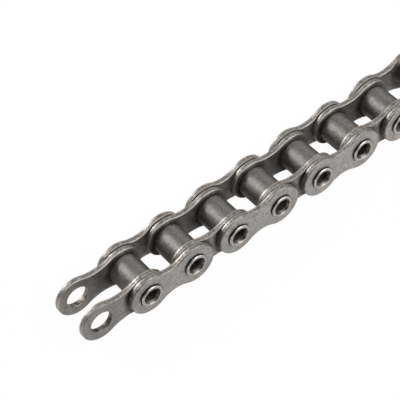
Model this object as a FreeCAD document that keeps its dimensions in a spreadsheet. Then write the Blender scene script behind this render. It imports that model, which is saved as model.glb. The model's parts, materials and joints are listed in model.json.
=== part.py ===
import FreeCAD, Part
import math
import os

import Sketcher

# Hollow pin roller chain, single strand, figure-eight plates.
# The origin is the centre of the bare end eye, midway between the front and back plates.
# +X runs along the chain, +Y across it from the front plates to the back plates, and +Z is up.
# Joint centres lie on X at whole pitches: 0 is the bare end eye, and every one after it holds a
# hollow pin. The last pin is free: it takes the bare end eye of the next length of chain.

LINK_PAIRS = 4

DRIVING = (
    ("pitch", 12.7, "joint centre to joint centre"),
    ("inner_width", 7.85, "space between the two inner plates"),
    ("inner_plate_thickness", 1.4, "inner plate"),
    ("outer_plate_thickness", 1.4, "outer plate"),
    ("link_gap", 0.1, "side play between an inner plate and the outer plate beside it"),
    ("inner_plate_height", 10.4, "inner plate across a head"),
    ("outer_plate_height", 10.7, "outer plate across a head"),
    ("inner_waist", 7.6, "inner plate across its waist"),
    ("outer_waist", 7.15, "outer plate across its waist"),
    ("pin_diameter", 5.63, "hollow pin, outside"),
    ("pin_bore", 4.0, "hollow pin, bore"),
    ("pin_stand_out", 0.6, "pin end past the outer plate"),
    ("pin_flare", 5.9, "riveted end of a pin, outside, where it is widest"),
    ("pin_mouth", 4.5, "riveted end of a pin, bore"),
    ("pin_mouth_depth", 0.9, "how deep the bore opens out at a pin end"),
    ("pin_lip", 0.25, "bevel round the outside of a pin end"),
    ("pin_clearance", 0.04, "radial running clearance of a pin in a bush or in the bare eye"),
    ("bush_wall", 0.5, "bush wall"),
    ("roller_clearance", 0.05, "radial running clearance of a roller on its bush"),
    ("roller_diameter", 7.92, "roller, outside"),
    ("roller_side_play", 0.1, "gap between a roller end and the inner plate beside it"),
)

DERIVED = (
    ("inner_waist_radius", "=((pitch / 2)^2 + (inner_waist / 2)^2 - (inner_plate_height / 2)^2)"
     " / (inner_plate_height - inner_waist)", "arc that joins the heads of an inner plate"),
    ("outer_waist_radius", "=((pitch / 2)^2 + (outer_waist / 2)^2 - (outer_plate_height / 2)^2)"
     " / (outer_plate_height - outer_waist)", "arc that joins the heads of an outer plate"),
    ("eye_bore", "=pin_diameter + 2 * pin_clearance", "bare end eye"),
    ("bush_bore", "=pin_diameter + 2 * pin_clearance", "bush, bore"),
    ("bush_diameter", "=bush_bore + 2 * bush_wall", "bush, outside, and its seat in the inner plates"),
    ("roller_bore", "=bush_diameter + 2 * roller_clearance", "roller, bore"),
    ("pin_rim", "=pin_flare - 2 * pin_lip", "flat rim of a riveted end, outside"),
    ("inner_plate_face", "=inner_width / 2", "inner plate's inner face, from mid-width"),
    ("roller_reach", "=inner_plate_face - roller_side_play", "roller end, from mid-width"),
    ("bush_reach", "=inner_plate_face + inner_plate_thickness", "bush end, flush with the inner plate"),
    ("outer_plate_face", "=bush_reach + link_gap", "outer plate's inner face, from mid-width"),
    ("pin_seat_reach", "=outer_plate_face + outer_plate_thickness", "outer plate's outer face"),
    ("pin_reach", "=pin_seat_reach + pin_stand_out", "pin end, from mid-width"),
    ("pin_flare_reach", "=pin_reach - pin_lip", "widest place of a riveted end, from mid-width"),
    ("pin_bore_reach", "=pin_reach - pin_mouth_depth", "end of a pin's straight bore, from mid-width"),
)

# Turned pieces: the diameter and the reach from mid-width of each corner, from the bore outwards
TURNED = {
    "bush": (("bush_bore", "bush_reach"), ("bush_diameter", "bush_reach")),
    "roller": (("roller_bore", "roller_reach"), ("roller_diameter", "roller_reach")),
    "pin": (("pin_bore", "pin_bore_reach"), ("pin_mouth", "pin_reach"), ("pin_rim", "pin_reach"),
            ("pin_flare", "pin_flare_reach"), ("pin_diameter", "pin_seat_reach")),
}


def make_sheet(document):
    sheet = document.addObject("Spreadsheet::Sheet", "sizes")
    for row, (alias, content, meaning) in enumerate(DRIVING + DERIVED, start=1):
        sheet.set(f"A{row}", meaning)
        sheet.set(f"B{row}", str(content))
        sheet.setAlias(f"B{row}", alias)
    document.recompute()
    return sheet


def number(alias):
    return float(getattr(sizes, alias))


def make_body(label, joint, across="0"):
    """A body at a joint centre, its origin moved across the chain by an expression."""
    body = doc.addObject("PartDesign::Body", label)
    body.Label = label
    body.setExpression("Placement.Base.x", f"sizes.pitch * {joint}")
    body.setExpression("Placement.Base.y", across)
    return body


def make_sketch(body, plane_role):
    sketch = body.newObject("Sketcher::SketchObject", body.Label + "_sketch")
    plane = [item for item in body.Origin.OriginFeatures if item.Role == plane_role][0]
    sketch.AttachmentSupport = [(plane, "")]
    sketch.MapMode = "FlatFace"
    return sketch


def constrain(sketch, name, expression, *constraint):
    """Adds a constraint by name and binds its value to an expression on the sheet."""
    index = sketch.addConstraint(Sketcher.Constraint(*constraint))
    sketch.renameConstraint(index, name)
    sketch.setExpression("Constraints." + name, expression)


def draw_plate(sketch, kind, near_hole, far_hole):
    """The figure-eight outline, four tangent arcs, with a hole at each head's centre."""
    pitch = number("pitch")
    head = number(kind + "_plate_height") / 2
    waist = number(kind + "_waist") / 2
    hollow = number(kind + "_waist_radius")
    turn = math.atan2(waist + hollow, pitch / 2)
    up = FreeCAD.Vector(0, 0, 1)
    near = FreeCAD.Vector(0, 0, 0)
    far = FreeCAD.Vector(pitch, 0, 0)
    below = FreeCAD.Vector(pitch / 2, -waist - hollow, 0)
    above = FreeCAD.Vector(pitch / 2, waist + hollow, 0)

    def arc(centre, radius, start, end):
        return sketch.addGeometry(Part.ArcOfCircle(Part.Circle(centre, up, radius), start, end), False)

    near_head = arc(near, head, turn, 2 * math.pi - turn)
    bottom = arc(below, hollow, turn, math.pi - turn)
    far_head = arc(far, head, turn - math.pi, math.pi - turn)
    top = arc(above, hollow, math.pi + turn, 2 * math.pi - turn)
    start, end, centre = 1, 2, 3
    for first, first_point, second, second_point in (
            (near_head, end, bottom, end), (bottom, start, far_head, start),
            (far_head, end, top, end), (top, start, near_head, start)):
        sketch.addConstraint(Sketcher.Constraint("Tangent", first, first_point, second, second_point))
    horizontal_axis, origin = -1, 1
    sketch.addConstraint(Sketcher.Constraint("Coincident", near_head, centre, horizontal_axis, origin))
    sketch.addConstraint(Sketcher.Constraint("PointOnObject", far_head, centre, horizontal_axis))
    sketch.addConstraint(Sketcher.Constraint("Equal", near_head, far_head))
    sketch.addConstraint(Sketcher.Constraint("Equal", bottom, top))
    constrain(sketch, "pitch", "sizes.pitch", "DistanceX", near_head, centre, far_head, centre, pitch)
    constrain(sketch, "head", f"sizes.{kind}_plate_height / 2", "Radius", near_head, head)
    constrain(sketch, "hollow", f"sizes.{kind}_waist_radius", "Radius", bottom, hollow)
    for name, middle, carrier, bore in (("near_hole", near, near_head, near_hole),
                                        ("far_hole", far, far_head, far_hole)):
        hole = sketch.addGeometry(Part.Circle(middle, up, number(bore) / 2), False)
        sketch.addConstraint(Sketcher.Constraint("Coincident", hole, centre, carrier, centre))
        constrain(sketch, name, "sizes." + bore, "Diameter", hole, number(bore))


def make_plate(label, kind, joint, side, near_hole, far_hole):
    """A stamped plate from one joint to the next, on the front (-1) or the back (+1) of the chain."""
    body = make_body(label, joint, f"{side} * sizes.{kind}_plate_face")
    sketch = make_sketch(body, "XZ_Plane")
    draw_plate(sketch, kind, near_hole, far_hole)
    pad = body.newObject("PartDesign::Pad", label + "_pad")
    pad.Profile = sketch
    pad.Reversed = side > 0
    pad.setExpression("Length", f"sizes.{kind}_plate_thickness")
    return body


def make_turned(label, joint, name):
    """A hollow piece turned about a joint's axis: its corners on the back half, mirrored to the front."""
    body = make_body(label, joint)
    sketch = make_sketch(body, "XY_Plane")
    corners = [(diameter, reach, 1) for diameter, reach in TURNED[name]]
    corners += [(diameter, reach, -1) for diameter, reach in reversed(TURNED[name])]
    points = [FreeCAD.Vector(number(diameter) / 2, side * number(reach), 0)
              for diameter, reach, side in corners]
    count = len(points)
    start, end, horizontal_axis, origin = 1, 2, -1, 1
    for index in range(count):
        sketch.addGeometry(Part.LineSegment(points[index], points[(index + 1) % count]), False)
    for index in range(count):
        sketch.addConstraint(Sketcher.Constraint("Coincident", index, end, (index + 1) % count, start))
    for index, (diameter, reach, side) in enumerate(corners):
        constrain(sketch, f"radius_{index}", f"sizes.{diameter} / 2", "DistanceX",
                  horizontal_axis, origin, index, start, number(diameter) / 2)
        low, high = ((horizontal_axis, origin), (index, start))[::side]
        constrain(sketch, f"reach_{index}", f"sizes.{reach}", "DistanceY", *low, *high, number(reach))
    turned = body.newObject("PartDesign::Revolution", label + "_turn")
    turned.Profile = sketch
    turned.ReferenceAxis = (sketch, ["V_Axis"])
    turned.Angle = 360
    return body


def make_inner_link(index):
    """Two inner plates with a bush and a roller at each joint; the first link's near eyes are bare."""
    joint = 2 * index - 2
    near_hole = "eye_bore" if index == 1 else "bush_diameter"
    plates = [make_plate(f"inner_plate_{index}_{place}", "inner", joint, side, near_hole, "bush_diameter")
              for place, side in (("front", -1), ("back", 1))]
    filled = [j for j in (joint, joint + 1) if j > 0]
    bushes = [make_turned(f"bush_{j}", j, "bush") for j in filled]
    rollers = [make_turned(f"roller_{j}", j, "roller") for j in filled]
    return plates + bushes + rollers


def make_outer_link(index):
    """Two outer plates and two hollow pins, whose riveted ends open out past the plates."""
    joint = 2 * index - 1
    plates = [make_plate(f"outer_plate_{index}_{place}", "outer", joint, side, "pin_diameter", "pin_diameter")
              for place, side in (("front", -1), ("back", 1))]
    pins = [make_turned(f"pin_{j}", j, "pin") for j in (joint, joint + 1)]
    return plates + pins


def check(document, bodies):
    for item in document.Objects:
        if "Invalid" in item.State or "Error" in item.State:
            raise RuntimeError(item.Name + " failed: " + ", ".join(item.State))
    for body in bodies:
        if body.Shape.isNull() or not body.Shape.isValid() or len(body.Shape.Solids) != 1:
            raise RuntimeError(body.Label + " is not one valid solid")


doc = FreeCAD.newDocument("hollow_pin_roller_chain")
sizes = make_sheet(doc)
pieces = []
for link in range(1, LINK_PAIRS + 1):
    pieces += make_inner_link(link) + make_outer_link(link)
doc.recompute()
check(doc, pieces)
os.makedirs("parts", exist_ok=True)
for piece in pieces:
    piece.Shape.exportStep(f"parts/{piece.Label}.step")
print(len(pieces), "pieces")
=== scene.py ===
import bpy
import json
import math
from mathutils import Matrix, Quaternion, Vector

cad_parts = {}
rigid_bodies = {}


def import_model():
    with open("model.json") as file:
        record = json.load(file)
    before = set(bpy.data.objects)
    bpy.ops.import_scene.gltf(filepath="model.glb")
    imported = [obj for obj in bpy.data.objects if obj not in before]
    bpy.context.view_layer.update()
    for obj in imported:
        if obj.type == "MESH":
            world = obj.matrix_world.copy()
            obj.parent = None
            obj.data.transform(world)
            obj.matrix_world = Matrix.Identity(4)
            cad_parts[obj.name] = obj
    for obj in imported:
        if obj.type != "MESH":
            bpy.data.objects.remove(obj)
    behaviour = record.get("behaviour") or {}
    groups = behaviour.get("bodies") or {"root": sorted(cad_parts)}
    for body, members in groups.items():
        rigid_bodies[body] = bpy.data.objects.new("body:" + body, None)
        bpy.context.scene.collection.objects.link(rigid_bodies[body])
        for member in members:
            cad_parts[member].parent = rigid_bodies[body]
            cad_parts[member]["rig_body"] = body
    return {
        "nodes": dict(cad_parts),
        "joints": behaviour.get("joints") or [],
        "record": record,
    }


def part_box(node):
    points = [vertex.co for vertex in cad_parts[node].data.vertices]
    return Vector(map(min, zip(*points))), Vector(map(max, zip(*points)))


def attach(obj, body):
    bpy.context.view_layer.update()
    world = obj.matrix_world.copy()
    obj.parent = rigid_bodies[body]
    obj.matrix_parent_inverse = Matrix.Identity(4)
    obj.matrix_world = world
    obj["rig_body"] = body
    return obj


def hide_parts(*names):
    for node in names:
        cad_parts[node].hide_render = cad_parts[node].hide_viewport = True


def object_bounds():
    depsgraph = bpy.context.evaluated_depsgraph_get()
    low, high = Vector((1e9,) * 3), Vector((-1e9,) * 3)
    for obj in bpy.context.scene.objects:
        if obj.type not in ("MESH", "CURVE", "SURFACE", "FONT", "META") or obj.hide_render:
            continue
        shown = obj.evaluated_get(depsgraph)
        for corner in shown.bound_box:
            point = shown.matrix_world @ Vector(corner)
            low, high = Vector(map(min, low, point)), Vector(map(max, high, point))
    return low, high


# Hollow pin roller chain. The CAD nodes give every piece its place and size, and each one is
# replaced by a finished piece with rolled edges, riveted rims and worn steel surfaces.
# X runs along the chain, Y across it and Z up, in metres. The bare eyes are centred on the Y axis.

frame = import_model()
cad_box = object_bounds()

MM = 0.001
X, Y, Z = range(3)

# Sizes that the frame doesn't hold

ROLLER_GAP = 0.05 * MM
PIN_GAP = 0.04 * MM
PIN_LIP = 0.25 * MM
PIN_MOUTH_RADIUS = 2.25 * MM
PIN_MOUTH_DEPTH = 0.9 * MM
WAIST_HEIGHT = {"inner": 7.6 * MM, "outer": 7.15 * MM}

# Sizes from the frame

def half_size(node_name, axis):
    low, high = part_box(node_name)
    return (high[axis] - low[axis]) / 2


def named(rows, name):
    return next(row for row in rows if row["name"] == name)


def bore_radius(mount_name):
    return named(frame["record"]["mounts"], mount_name)["dims"]["r_mm"] * MM


# Bores and flares are radii, and a reach is half a width across the chain. The bushes are bored as
# wide as the bare eyes.
PITCH = named(frame["joints"], "link_hinge_1")["pos_m"][X]
BUSH_RADIUS = half_size("bush_1", X)
BUSH_BORE = bore_radius("end_eye")
BUSH_REACH = half_size("bush_1", Y)
ROLLER_RADIUS = half_size("roller_1", X)
ROLLER_BORE = BUSH_RADIUS + ROLLER_GAP
ROLLER_REACH = half_size("roller_1", Y)
PIN_RADIUS = BUSH_BORE - PIN_GAP
PIN_BORE = bore_radius("pin_bore_1")
PIN_SEAT_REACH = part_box("outer_plate_1_back")[1].y
PIN_REACH = half_size("pin_1", Y)
PIN_FLARE = half_size("pin_1", X)

# The same sizes for the finishes, which measure in millimetres

PITCH_MM = PITCH / MM
HEAD_MM = half_size("outer_plate_1_front", Z) / MM
BUSH_MM = BUSH_RADIUS / MM
ROLLER_REACH_MM = ROLLER_REACH / MM
PIN_MM = PIN_RADIUS / MM
PIN_SEAT_MM = PIN_SEAT_REACH / MM

# Small roundings that the solids leave plain, and how many facets each has

ROLLED_EDGE = 0.17 * MM
ROLLED_FACETS = 4
CRISP_EDGE = 0.11 * MM
CRISP_FACETS = 3
FINE_EDGE = 0.08 * MM
PIN_EDGE = 0.11 * MM
ROLLER_EDGE = 0.30 * MM
RIM_FACETS = 5

# How finely the arcs and circles are divided

HEAD_STEPS = 56
WAIST_STEPS = 18
ROUND_STEPS = 96

# Tolerances

SMALLEST = 0.001 * MM
CLOSE = 0.01 * MM
SHARP_ANGLE = math.radians(50)
# How far a finished plate's head stays inside the solid's
SNUG = 0.005 * MM


# Node trees

# The sockets of a Mix node that mixes colours, by number
MIX_SHARE, MIX_FIRST, MIX_SECOND, MIX_RESULT = 0, 6, 7, 2


def emptied(material):
    """Gives a material an empty node tree. The world, which has one too, is passed here and below in
    a material's place."""
    material.use_nodes = True
    material.node_tree.nodes.clear()
    return material


def node(material, kind, inputs=None, **settings):
    """Adds a node. An input's value is a number, a colour or another node's output."""
    made = material.node_tree.nodes.new("ShaderNode" + kind)
    for name, value in settings.items():
        setattr(made, name, value)
    for key, value in (inputs or {}).items():
        if isinstance(value, bpy.types.NodeSocket):
            material.node_tree.links.new(value, made.inputs[key])
        else:
            made.inputs[key].default_value = value
    return made


def place_in_mm(material):
    """The place on the chain in millimetres."""
    place = node(material, "TexCoord").outputs["Object"]
    return node(material, "VectorMath", {0: place, "Scale": 1 / MM}, operation="SCALE").outputs[0]


def place_through(material):
    """The place through a plate, from 0 on its side towards the chain's middle to 1 on the other."""
    return node(material, "Attribute", attribute_name="through").outputs["Fac"]


def part_along(material, vector, axis):
    """One of a vector's three parts, by its axis's letter."""
    return node(material, "SeparateXYZ", {0: vector}).outputs[axis]


def stretched(material, place, x, y, z):
    return node(material, "Mapping", {"Vector": place, "Scale": (x, y, z)}).outputs[0]


def noise(material, place, scale, detail, roughness, distortion=0.0):
    made = node(material, "TexNoise", {"Vector": place, "Scale": scale, "Detail": detail,
                                       "Roughness": roughness, "Distortion": distortion})
    return made.outputs["Fac"]


def spread(material, value, low, high, out_low=0.0, out_high=1.0):
    """Turns the range from low to high into another range, and holds the value inside it."""
    made = node(material, "MapRange", {"Value": value, "From Min": low, "From Max": high,
                                       "To Min": out_low, "To Max": out_high})
    return made.outputs[0]


def maths(material, operation, first, second=0.0, third=0.0):
    return node(material, "Math", {0: first, 1: second, 2: third}, operation=operation).outputs[0]


def weighed(material, first, second, share):
    """The sum of two values, the first taken by its share and the second by the rest."""
    rest = maths(material, "MULTIPLY", second, 1 - share)
    return maths(material, "MULTIPLY_ADD", first, share, rest)


def blended(material, share, first, second):
    """One colour turned into a second by a share."""
    made = node(material, "Mix", {MIX_SHARE: share, MIX_FIRST: first, MIX_SECOND: second}, data_type="RGBA")
    return made.outputs[MIX_RESULT]


def bumped(material, height, strength, depth):
    """A surface's normal with bumps of a depth in millimetres."""
    made = node(material, "Bump", {"Height": height, "Strength": strength, "Distance": depth * MM})
    return made.outputs[0]


def steel(material, colour, roughness, normal):
    shader = node(material, "BsdfPrincipled", {"Base Color": colour, "Roughness": roughness,
                                               "Normal": normal, "Metallic": 1.0})
    node(material, "OutputMaterial", {"Surface": shader.outputs[0]})
    return material


def grey(level, warmth):
    """A steel grey, made warmer by a share of its own level."""
    return (level * (1 + warmth), level, level * (1 - warmth), 1.0)


# Finishes

def joint_distance(material, place):
    """How far a point of the chain's side is from the nearest joint's centre, in millimetres. The
    bare eyes, which hold no pin, don't count as a joint."""
    along = maths(material, "DIVIDE", part_along(material, place, "X"), PITCH_MM)
    joint = maths(material, "MAXIMUM", maths(material, "ROUND", along), 1.0)
    off = maths(material, "MULTIPLY", maths(material, "SUBTRACT", along, joint), PITCH_MM)
    height = part_along(material, place, "Z")
    square = maths(material, "MULTIPLY_ADD", off, off, maths(material, "MULTIPLY", height, height))
    return maths(material, "SQRT", square)


def tumbled_face(name, dark, light, oil_and_shade_radius, oil_and_shade_reach, oil_and_shade_share):
    """The flat side of a plate: tumbled satin steel, speckled, faintly clouded and here and there
    pitted. Round each joint it is darkened by oil and by painted shade, as far as its radius and a
    ragged reach beyond it, both in millimetres, and it is darker towards the bare end."""
    material = emptied(bpy.data.materials.new(name))
    place = place_in_mm(material)
    mottle = noise(material, place, scale=0.9, detail=6.0, roughness=0.62)
    cloud = noise(material, place, scale=0.16, detail=3.0, roughness=0.5)
    grain = noise(material, place, scale=7.0, detail=5.0, roughness=0.7)
    speckle = noise(material, place, scale=4.6, detail=3.0, roughness=0.7)
    pits = noise(material, place, scale=3.1, detail=2.0, roughness=0.5)
    dull = grey(dark * 0.6, 0.08)
    worn = weighed(material, speckle, mottle, 0.7)
    colour = blended(material, spread(material, worn, 0.41, 0.59), grey(dark, 0.04), grey(light, 0.04))
    colour = blended(material, spread(material, cloud, 0.48, 0.70, 0.0, 0.35), colour, grey(dark * 0.9, 0.10))
    colour = blended(material, spread(material, pits, 0.66, 0.74, 0.0, 0.5), colour, dull)
    # The face is darker towards the bare end.
    bare_end_darkening = spread(material, part_along(material, place, "X"), -6.0, 14.0, 0.34, 0.0)
    colour = blended(material, bare_end_darkening, colour, dull)
    # Oil round each joint, with painted shade beside the pins, beside the outer plates' heads and between the
    # plates by the bushes.
    ragged = spread(material, mottle, 0.3, 0.7, -0.3, 0.3)
    oil_and_shade = maths(material, "ADD", joint_distance(material, place), ragged)
    oil_and_shade = spread(material, oil_and_shade, oil_and_shade_radius, oil_and_shade_radius + oil_and_shade_reach, oil_and_shade_share, 0.0)
    colour = blended(material, oil_and_shade, colour, grey(0.05, 0.15))
    roughness = spread(material, grain, 0.3, 0.7, 0.36, 0.50)
    height = weighed(material, mottle, grain, 0.6)
    return steel(material, colour, roughness, bumped(material, height, 0.35, 0.03))


def sheared_edge():
    """A plate's stamped edge: fine marks across its thickness, a dark torn band along its middle,
    and a rubbed line on either side of that."""
    material = emptied(bpy.data.materials.new("sheared_plate_edge"))
    place = place_in_mm(material)
    marks = noise(material, stretched(material, place, 1.0, 0.40, 1.0), scale=3.0, detail=4.0, roughness=0.65)
    tears = noise(material, stretched(material, place, 1.0, 0.60, 1.0), scale=1.7, detail=6.0, roughness=0.7,
                  distortion=0.4)
    patches = noise(material, place, scale=0.5, detail=3.0, roughness=0.5)
    off_middle = maths(material, "ABSOLUTE", maths(material, "SUBTRACT", place_through(material), 0.5))
    colour = blended(material, spread(material, marks, 0.38, 0.62), grey(0.19, 0.10), grey(0.47, 0.06))
    colour = blended(material, spread(material, patches, 0.50, 0.62, 0.0, 0.20), colour, grey(0.48, 0.02))
    rubbed = maths(material, "ADD", off_middle, spread(material, tears, 0.3, 0.7, -0.08, 0.04))
    colour = blended(material, spread(material, rubbed, 0.30, 0.36, 0.0, 0.55), colour, grey(0.56, 0.05))
    torn = maths(material, "ADD", off_middle, spread(material, tears, 0.3, 0.7, -0.10, 0.14))
    colour = blended(material, spread(material, torn, 0.03, 0.13, 0.72, 0.0), colour, grey(0.08, 0.16))
    roughness = spread(material, tears, 0.35, 0.65, 0.42, 0.58)
    height = weighed(material, marks, tears, 0.6)
    return steel(material, colour, roughness, bumped(material, height, 0.45, 0.06))


def worn_corner(name, oil_and_shade_from, oil_and_shade_full):
    """The corners between a plate's sides and its edge: rubbed bright here and there where they are
    rolled, and evenly bright where they are crisp. The one beside the next plate's head is darkened
    by oil and by painted shade of the gap, from one place through the plate to full at another."""
    material = emptied(bpy.data.materials.new(name))
    place = place_in_mm(material)
    through = place_through(material)
    wear = noise(material, place, scale=1.3, detail=6.0, roughness=0.7)
    colour = blended(material, spread(material, wear, 0.36, 0.62), grey(0.10, 0.08), grey(0.29, 0.05))
    colour = blended(material, spread(material, through, 0.1, 0.2, 0.85, 0.0), colour, grey(0.44, 0.06))
    # Oil with painted shade of the gap, in the corner beside the next plate's head.
    distance = joint_distance(material, place)
    at_head = spread(material, distance, HEAD_MM + 0.05, HEAD_MM + 0.30, 0.85, 0.0)
    oil_and_shade = maths(material, "MULTIPLY", at_head, spread(material, through, oil_and_shade_from, oil_and_shade_full))
    colour = blended(material, oil_and_shade, colour, grey(0.04, 0.15))
    roughness = spread(material, wear, 0.35, 0.65, 0.45, 0.33)
    return steel(material, colour, roughness, bumped(material, wear, 0.3, 0.02))


def punched_hole():
    """The wall of a punched hole: dark, with warm break-out marks."""
    material = emptied(bpy.data.materials.new("punched_hole_wall"))
    place = place_in_mm(material)
    marks = noise(material, stretched(material, place, 1.0, 0.6, 1.0), scale=1.1, detail=4.0, roughness=0.6)
    colour = blended(material, spread(material, marks, 0.38, 0.66), grey(0.06, 0.20), grey(0.40, 0.12))
    roughness = spread(material, marks, 0.35, 0.65, 0.36, 0.56)
    return steel(material, colour, roughness, bumped(material, marks, 0.3, 0.05))


def turned_skin(name, dark, light, roughness_range, grime_and_shade_from):
    """A round wall with fine marks running round it, a few bright specks, and grime and painted shade
    towards its ends, from a distance off the chain's middle in millimetres."""
    material = emptied(bpy.data.materials.new(name))
    place = place_in_mm(material)
    rings = noise(material, stretched(material, place, 0.10, 1.0, 0.10), scale=5.0, detail=4.0, roughness=0.7)
    mottle = noise(material, place, scale=1.5, detail=6.0, roughness=0.68)
    specks = noise(material, place, scale=2.7, detail=2.0, roughness=0.5)
    worn = weighed(material, rings, mottle, 0.3)
    colour = blended(material, spread(material, worn, 0.38, 0.62), grey(dark, 0.06), grey(light, 0.05))
    colour = blended(material, spread(material, specks, 0.66, 0.72, 0.0, 0.6), colour, grey(light * 2, 0.03))
    # Grime with painted shade towards the ends, where the piece meets the plates.
    off_middle = maths(material, "ABSOLUTE", part_along(material, place, "Y"))
    ragged = maths(material, "ADD", off_middle, spread(material, mottle, 0.3, 0.7, -0.8, 0.8))
    grime_and_shade = spread(material, ragged, grime_and_shade_from, grime_and_shade_from + 0.7, 0.0, 0.8)
    colour = blended(material, grime_and_shade, colour, grey(0.045, 0.15))
    roughness = spread(material, mottle, 0.35, 0.65, *roughness_range)
    return steel(material, colour, roughness, bumped(material, worn, 0.3, 0.02))


def bright_rim(name, dark, light, roughness_range):
    """Steel rubbed bright, in patches, by riveting or grinding. On the rollers' end chamfers the
    near-black patches are painted shade and the bright ones are partly painted glints.
    """
    material = emptied(bpy.data.materials.new(name))
    wear = noise(material, place_in_mm(material), scale=1.5, detail=6.0, roughness=0.65)
    colour = blended(material, spread(material, wear, 0.36, 0.66), grey(dark, 0.05), grey(light, 0.04))
    roughness = spread(material, wear, 0.35, 0.65, *roughness_range)
    return steel(material, colour, roughness, bumped(material, wear, 0.25, 0.02))


def oily_wall(name, dark, light):
    """A wall that grease and handling have left dark and brown."""
    material = emptied(bpy.data.materials.new(name))
    film = noise(material, place_in_mm(material), scale=0.9, detail=3.0, roughness=0.5)
    colour = blended(material, spread(material, film, 0.40, 0.64), grey(dark, 0.07), grey(light, 0.10))
    roughness = spread(material, film, 0.35, 0.65, 0.54, 0.42)
    return steel(material, colour, roughness, bumped(material, film, 0.3, 0.02))


FINISH = {
    # Each plate side darkens round the joints with oil and painted shade: round the pins, beside the outer
    # plates' heads and round the bushes.
    "outer_plate": tumbled_face("tumbled_outer_plate", dark=0.22, light=0.46,
                                oil_and_shade_radius=PIN_MM + 0.1, oil_and_shade_reach=0.45, oil_and_shade_share=0.65),
    "inner_plate": tumbled_face("tumbled_inner_plate", dark=0.18, light=0.38,
                                oil_and_shade_radius=HEAD_MM + 0.4, oil_and_shade_reach=1.10, oil_and_shade_share=0.86),
    "hidden_side": tumbled_face("oily_and_shaded_plate_inside", dark=0.23, light=0.60,
                                oil_and_shade_radius=BUSH_MM + 0.5, oil_and_shade_reach=1.60, oil_and_shade_share=0.68),
    "edge": sheared_edge(),
    "inner_corner": worn_corner("inner_plate_corner", oil_and_shade_from=0.90, oil_and_shade_full=0.95),
    "outer_corner": worn_corner("outer_plate_corner", oil_and_shade_from=0.09, oil_and_shade_full=0.05),
    "hole": punched_hole(),
    # The turned skins darken towards their ends with grime and painted shade.
    "roller": turned_skin("satin_roller_skin", dark=0.165, light=0.285,
                          roughness_range=(0.42, 0.52), grime_and_shade_from=ROLLER_REACH_MM - 0.7),
    # The roller end chamfers: near-black patches are painted shade beside the plates, and bright patches are
    # rubbed steel and partly painted glints.
    "roller_end": bright_rim("roller_end_chamfer", dark=0.08, light=0.90, roughness_range=(0.36, 0.24)),
    "bush": turned_skin("ground_bush_skin", dark=0.20, light=0.30,
                        roughness_range=(0.30, 0.42), grime_and_shade_from=ROLLER_REACH_MM),
    "bush_end": bright_rim("bush_end_face", dark=0.22, light=0.36, roughness_range=(0.42, 0.30)),
    "pin": turned_skin("ground_pin_skin", dark=0.20, light=0.28,
                       roughness_range=(0.28, 0.38), grime_and_shade_from=PIN_SEAT_MM - 1.2),
    "pin_rim": bright_rim("riveted_pin_rim", dark=0.29, light=0.50, roughness_range=(0.36, 0.26)),
    "pin_bore": oily_wall("oiled_pin_bore", dark=0.09, light=0.38),
}


# Modelling

TOOL_LENGTH = 20 * MM
FLAT_FACE_WEIGHT = 100

# A plate's finishes in the order of their numbers, and how far a face leans towards Y when it is a
# flat side, or at least a corner
SIDE, EDGE, CORNER, HOLE, HIDDEN_SIDE = range(5)
PLATE_FINISHES = {"inner": ("inner_plate", "edge", "inner_corner", "hole", "hidden_side"),
                  "outer": ("outer_plate", "edge", "outer_corner", "hole", "hidden_side")}
SIDE_LEAN = 0.99
CORNER_LEAN = 0.05

# The same for a turned piece
SKIN, END, INSIDE = range(3)
END_LEAN = 0.35


def deselect_all():
    if bpy.context.object and bpy.context.object.mode != "OBJECT":
        bpy.ops.object.mode_set(mode="OBJECT")
    bpy.ops.object.select_all(action="DESELECT")


def select_only(piece):
    deselect_all()
    piece.select_set(True)
    bpy.context.view_layer.objects.active = piece


def apply(piece, kind, **settings):
    """Adds one modifier to a piece and applies it."""
    modifier = piece.modifiers.new(kind.lower(), kind)
    for name, value in settings.items():
        setattr(modifier, name, value)
    bpy.context.view_layer.objects.active = piece
    bpy.ops.object.modifier_apply(modifier=modifier.name)


def select_edges(piece, wanted):
    """Selects, in edit mode, the edges that pass a test of the edge and its two ends' places."""
    bpy.ops.object.mode_set(mode="OBJECT")
    points = piece.data.vertices
    for edge in piece.data.edges:
        edge.select = wanted(edge, [points[index].co for index in edge.vertices])
    bpy.ops.object.mode_set(mode="EDIT")


def round_side(plate, side, width, facets):
    """Rounds the sharp rims on one side of a plate, the outline's and the holes' alike."""
    bpy.ops.object.mode_set(mode="EDIT")
    bpy.ops.mesh.select_mode(type="EDGE")
    bpy.ops.mesh.select_all(action="DESELECT")
    bpy.ops.mesh.edges_select_sharp(sharpness=SHARP_ANGLE)
    select_edges(plate, lambda edge, ends: edge.select and all(abs(end.y - side) < CLOSE for end in ends))
    bpy.ops.mesh.bevel(offset=width, segments=facets, affect="EDGES")
    bpy.ops.object.mode_set(mode="OBJECT")


def round_rims(piece, radius, reach, width):
    """Rounds the two rims of a turned piece that have one radius and one reach."""

    def on_rim(point):
        off_radius = math.hypot(point.x, point.z) - radius
        return abs(off_radius) < CLOSE and abs(abs(point.y) - reach) < CLOSE

    bpy.ops.mesh.select_mode(type="EDGE")
    bpy.ops.mesh.select_all(action="DESELECT")
    select_edges(piece, lambda edge, ends: all(on_rim(end) for end in ends))
    bpy.ops.mesh.bevel(offset=width, segments=RIM_FACETS, affect="EDGES")


def finish_shading(piece):
    select_only(piece)
    bpy.ops.object.shade_smooth_by_angle(angle=SHARP_ANGLE)
    apply(piece, "WEIGHTED_NORMAL", keep_sharp=True, weight=FLAT_FACE_WEIGHT)


def add_finishes(piece, names):
    for name in names:
        piece.data.materials.append(FINISH[name])


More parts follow.
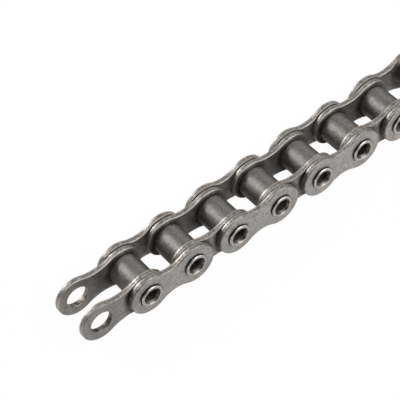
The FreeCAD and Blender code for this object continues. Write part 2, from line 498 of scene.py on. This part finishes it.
def finish_plate_faces(plate, kind, widest_hole):
    """Gives each face of a plate its finish, by its lean and by whether it is inside a hole."""
    add_finishes(plate, PLATE_FINISHES[kind])
    for face in plate.data.polygons:
        joint = PITCH if face.center.x > PITCH / 2 else 0
        in_hole = math.hypot(face.center.x - joint, face.center.z) < widest_hole + CLOSE
        if abs(face.normal.y) > SIDE_LEAN:
            face.material_index = SIDE
        elif abs(face.normal.y) > CORNER_LEAN:
            face.material_index = CORNER
        else:
            face.material_index = HOLE if in_hole else EDGE


def finish_turned_faces(piece, finishes, mid_wall):
    """Gives each face of a turned piece its finish, by its lean towards an end and by whether it is
    further from the Y axis than the middle of the wall."""
    add_finishes(piece, finishes)
    for face in piece.data.polygons:
        if face.normal.y * face.center.y > END_LEAN * abs(face.center.y):
            face.material_index = END
        else:
            face.material_index = SKIN if math.hypot(face.center.x, face.center.z) > mid_wall else INSIDE


def single_point(place):
    """A new mesh of one point, left in edit mode: a small plane merged at its middle and moved."""
    deselect_all()
    bpy.ops.mesh.primitive_plane_add(size=MM)
    piece = bpy.context.object
    bpy.ops.object.mode_set(mode="EDIT")
    bpy.ops.mesh.select_mode(type="VERT")
    bpy.ops.mesh.select_all(action="SELECT")
    bpy.ops.mesh.merge(type="CENTER")
    bpy.ops.transform.translate(value=place)
    return piece


def bore(plate, radius, x):
    """Cuts a hole across the chain through a plate, with a cylinder."""
    deselect_all()
    bpy.ops.mesh.primitive_cylinder_add(vertices=ROUND_STEPS, radius=radius, depth=TOOL_LENGTH,
                                        location=(x, 0, 0), rotation=(math.pi / 2, 0, 0))
    tool = bpy.context.object
    apply(plate, "BOOLEAN", operation="DIFFERENCE", object=tool, solver="EXACT")
    bpy.data.objects.remove(tool)


def plate_blank(kind, half_thickness):
    """A plate without holes, its near head and its thickness centred on the origin: the outline is
    spun about its four arcs' centres, filled and given its thickness. The waist's two arcs have the
    radius that makes them run smoothly into the heads."""
    head = half_size(kind + "_plate_1_front", Z) - SNUG
    waist = WAIST_HEIGHT[kind] / 2
    half_pitch = PITCH / 2
    hollow = (half_pitch ** 2 + waist ** 2 - head ** 2) / (2 * (head - waist))
    turn = math.atan2(waist + hollow, half_pitch)
    head_turn = 2 * math.pi - 2 * turn
    waist_turn = 2 * turn - math.pi
    plate = single_point((head * math.cos(turn), -half_thickness, head * math.sin(turn)))
    for x, z, angle, steps in ((0, 0, head_turn, HEAD_STEPS),
                               (half_pitch, -waist - hollow, waist_turn, WAIST_STEPS),
                               (PITCH, 0, head_turn, HEAD_STEPS),
                               (half_pitch, waist + hollow, waist_turn, WAIST_STEPS)):
        bpy.ops.mesh.spin(steps=steps, angle=angle, center=(x, 0, z), axis=(0, 1, 0))
    bpy.ops.mesh.select_all(action="SELECT")
    bpy.ops.mesh.remove_doubles(threshold=SMALLEST)
    bpy.ops.mesh.edge_face_add()
    bpy.ops.mesh.extrude_region_move(TRANSFORM_OT_translate={"value": (0, 2 * half_thickness, 0)})
    bpy.ops.mesh.select_all(action="SELECT")
    bpy.ops.mesh.normals_make_consistent(inside=False)
    bpy.ops.object.mode_set(mode="OBJECT")
    return plate


def plate_master(kind, outwards, near_hole, far_hole):
    """A finished plate, its near head centred on the origin. Stamping has rolled the rims of its
    outward side, and left those of the other side crisp."""
    half_thickness = half_size(kind + "_plate_1_front", Y)
    plate = plate_blank(kind, half_thickness)
    bore(plate, near_hole, 0)
    bore(plate, far_hole, PITCH)
    select_only(plate)
    round_side(plate, outwards * half_thickness, ROLLED_EDGE, ROLLED_FACETS)
    round_side(plate, -outwards * half_thickness, CRISP_EDGE, CRISP_FACETS)
    finish_shading(plate)
    finish_plate_faces(plate, kind, max(near_hole, far_hole))
    return plate


def mark_inside(plate, low, high):
    """Gives the side of a plate that faces the chain's middle its own finish, and each point its
    place through the plate, from 0 on that side to 1 on the other."""
    outwards = 1 if low + high > 0 else -1
    inner_side = min(abs(low), abs(high))
    for face in plate.data.polygons:
        if face.material_index == SIDE and face.normal.y * outwards < 0:
            face.material_index = HIDDEN_SIDE
    through = plate.data.attributes.new("through", "FLOAT", "POINT")
    for index, point in enumerate(plate.data.vertices):
        through.data[index].value = (point.co.y * outwards - inner_side) / (high - low)


def turned_master(corners, finishes):
    """A hollow piece turned about the Y axis. Each corner of its back half is a radius, a reach and
    a rounding, from the bore outwards, and the front half mirrors it. The profile is extruded from
    a point, spun, and rounded at its rims. The finishes are its skin's, its ends' and its inside's."""
    profile = [Vector((radius, reach, 0)) for radius, reach, rounding in corners]
    profile += [Vector((radius, -reach, 0)) for radius, reach, rounding in reversed(corners)]
    piece = single_point(profile[0])
    for here, there in zip(profile, profile[1:] + profile[:1]):
        bpy.ops.mesh.extrude_region_move(TRANSFORM_OT_translate={"value": there - here})
    bpy.ops.mesh.select_all(action="SELECT")
    bpy.ops.mesh.spin(steps=ROUND_STEPS, angle=2 * math.pi, center=(0, 0, 0), axis=(0, 1, 0))
    bpy.ops.mesh.select_all(action="SELECT")
    bpy.ops.mesh.remove_doubles(threshold=SMALLEST)
    for radius, reach, rounding in corners:
        round_rims(piece, radius, reach, rounding)
    bpy.ops.mesh.select_all(action="SELECT")
    bpy.ops.mesh.normals_make_consistent(inside=False)
    bpy.ops.object.mode_set(mode="OBJECT")
    finish_shading(piece)
    bore_corner, skin_corner = corners[0], corners[-1]
    finish_turned_faces(piece, finishes, (bore_corner[0] + skin_corner[0]) / 2)
    return piece


def roller_master():
    corners = ((ROLLER_BORE, ROLLER_REACH, FINE_EDGE),
               (ROLLER_RADIUS, ROLLER_REACH, ROLLER_EDGE))
    return turned_master(corners, ("roller", "roller_end", "roller"))


def bush_master():
    corners = ((BUSH_BORE, BUSH_REACH, FINE_EDGE),
               (BUSH_RADIUS, BUSH_REACH, FINE_EDGE))
    return turned_master(corners, ("bush", "bush_end", "bush"))


def pin_master():
    """A hollow pin, riveted: past the outer plates its outside widens to a flare with a bevelled
    lip, and its bore opens into a mouth."""
    corners = ((PIN_BORE, PIN_REACH - PIN_MOUTH_DEPTH, FINE_EDGE),
               (PIN_MOUTH_RADIUS, PIN_REACH, PIN_EDGE),
               (PIN_FLARE - PIN_LIP, PIN_REACH, PIN_EDGE),
               (PIN_FLARE, PIN_REACH - PIN_LIP, PIN_EDGE),
               (PIN_RADIUS, PIN_SEAT_REACH, SMALLEST))
    return turned_master(corners, ("pin", "pin_rim", "pin_bore"))


def fit(master, node_name):
    """Puts a copy of a master piece, with its own mesh, where a CAD node is, in that node's place."""
    low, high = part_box(node_name)
    # Every piece starts less than half a pitch before its near joint, which a master has at the origin
    near_joint = round(low.x / PITCH) * PITCH
    piece = bpy.data.objects.new(node_name + "_finished", master.data.copy())
    bpy.context.scene.collection.objects.link(piece)
    piece.data.transform(Matrix.Translation((near_joint, (low.y + high.y) / 2, 0)))
    if "plate" in node_name:
        mark_inside(piece, low.y, high.y)
    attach(piece, frame["nodes"][node_name]["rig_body"])
    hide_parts(node_name)


def fit_all(master, node_names):
    for node_name in node_names:
        fit(master, node_name)
    bpy.data.objects.remove(master)


def nodes_named(start, end=""):
    return sorted(name for name in frame["nodes"] if name.startswith(start) and name.endswith(end))


def build_plates():
    for side, outwards in (("front", -1), ("back", 1)):
        bare, *others = nodes_named("inner_plate_", side)
        fit_all(plate_master("inner", outwards, BUSH_BORE, BUSH_RADIUS), [bare])
        fit_all(plate_master("inner", outwards, BUSH_RADIUS, BUSH_RADIUS), others)
        fit_all(plate_master("outer", outwards, PIN_RADIUS, PIN_RADIUS),
                nodes_named("outer_plate_", side))


def build_turned_pieces():
    fit_all(roller_master(), nodes_named("roller_"))
    fit_all(bush_master(), nodes_named("bush_"))
    fit_all(pin_master(), nodes_named("pin_"))


build_plates()
build_turned_pieces()


# Stage, light and camera

CHAIN_MIDDLE = (cad_box[0] + cad_box[1]) / 2
FLOOR_LEVEL = cad_box[0].z
FLOOR_WIDTH = 4.0
FLOOR_COLOUR = (0.88, 0.88, 0.88, 1)
FLOOR_CLEARNESS = 0.97
WHITE = (1, 1, 1, 1)
DIM_SKY = 0.04
LAMP_DISTANCE = 0.6

# The photograph's view: from the left and above, rolled a little, through a long lens
CAMERA_PLACE = (-0.08476, -0.18620, 0.27158)
CAMERA_AIM = (0.03797, 0.00740, 0.0)
CAMERA_ROLL = math.radians(-7.99)
CAMERA_LENS = 136.45
SENSOR_WIDTH = 36.0
CLIP_NEAR = 0.01
CLIP_FAR = 10.0


def clear_to_camera(material, plain):
    """Lets the camera see the white backdrop through a surface, apart from a small share of its own
    shading. From below it is clear to every ray, so a link that hangs lower is lit and seen too."""
    seen = maths(material, "MULTIPLY", node(material, "LightPath").outputs["Is Camera Ray"], FLOOR_CLEARNESS)
    below = node(material, "NewGeometry").outputs["Backfacing"]
    share = maths(material, "MAXIMUM", seen, below)
    clear = node(material, "BsdfTransparent").outputs[0]
    return node(material, "MixShader", {0: share, 1: plain, 2: clear}).outputs[0]


def build_floor():
    deselect_all()
    bpy.ops.mesh.primitive_plane_add(size=FLOOR_WIDTH, location=(CHAIN_MIDDLE.x, 0, FLOOR_LEVEL))
    floor = bpy.context.object
    floor.name = "floor"
    material = emptied(bpy.data.materials.new("pale_floor"))
    plain = node(material, "BsdfDiffuse", {"Color": FLOOR_COLOUR}).outputs[0]
    node(material, "OutputMaterial", {"Surface": clear_to_camera(material, plain)})
    floor.data.materials.append(material)


def build_world():
    """White to the camera, and to the steel where it looks below the horizon. Above it is dim."""
    world = emptied(bpy.data.worlds.new("studio"))
    bpy.context.scene.world = world
    seen = node(world, "LightPath").outputs["Is Camera Ray"]
    direction = node(world, "TexCoord").outputs["Generated"]
    below = maths(world, "LESS_THAN", part_along(world, direction, "Z"), 0.0)
    strength = spread(world, maths(world, "MAXIMUM", seen, below), 0.0, 1.0, DIM_SKY, 1.0)
    backdrop = node(world, "Background", {"Color": WHITE, "Strength": strength}).outputs[0]
    node(world, "OutputWorld", {"Surface": backdrop})


def softbox(name, direction, width, power):
    """A square lamp that faces the chain's middle from a direction."""
    data = bpy.data.lights.new(name, "AREA")
    data.shape = "SQUARE"
    data.size = width
    data.energy = power
    lamp = bpy.data.objects.new(name, data)
    bpy.context.scene.collection.objects.link(lamp)
    towards = Vector(direction).normalized()
    lamp.location = CHAIN_MIDDLE + towards * LAMP_DISTANCE
    lamp.rotation_mode = "QUATERNION"
    lamp.rotation_quaternion = (-towards).to_track_quat("-Z", "Y")


def build_lamps():
    softbox("back_softbox", (-0.37, 0.82, 0.43), width=0.18, power=2.3)
    softbox("back_high_softbox", (-0.22, 0.58, 0.78), width=0.30, power=0.45)
    softbox("back_right_softbox", (0.66, 0.58, 0.47), width=0.40, power=0.45)
    softbox("front_right_softbox", (0.56, -0.56, 0.62), width=0.42, power=2.1)
    softbox("front_softbox", (0.14, -0.78, 0.62), width=0.42, power=1.4)
    softbox("overhead_softbox", (0.37, -0.21, 0.91), width=0.42, power=1.3)
    softbox("right_softbox", (0.91, -0.33, 0.26), width=0.42, power=0.7)


def build_camera():
    data = bpy.data.cameras.new("camera")
    data.sensor_width = SENSOR_WIDTH
    data.lens = CAMERA_LENS
    data.clip_start = CLIP_NEAR
    data.clip_end = CLIP_FAR
    camera = bpy.data.objects.new("camera", data)
    bpy.context.scene.collection.objects.link(camera)
    camera.location = CAMERA_PLACE
    facing = (Vector(CAMERA_AIM) - camera.location).to_track_quat("-Z", "Y")
    camera.rotation_mode = "QUATERNION"
    camera.rotation_quaternion = facing @ Quaternion((0, 0, 1), CAMERA_ROLL)
    bpy.context.scene.camera = camera


build_floor()
build_world()
build_lamps()
build_camera()
bpy.context.scene.view_settings.view_transform = "Standard"
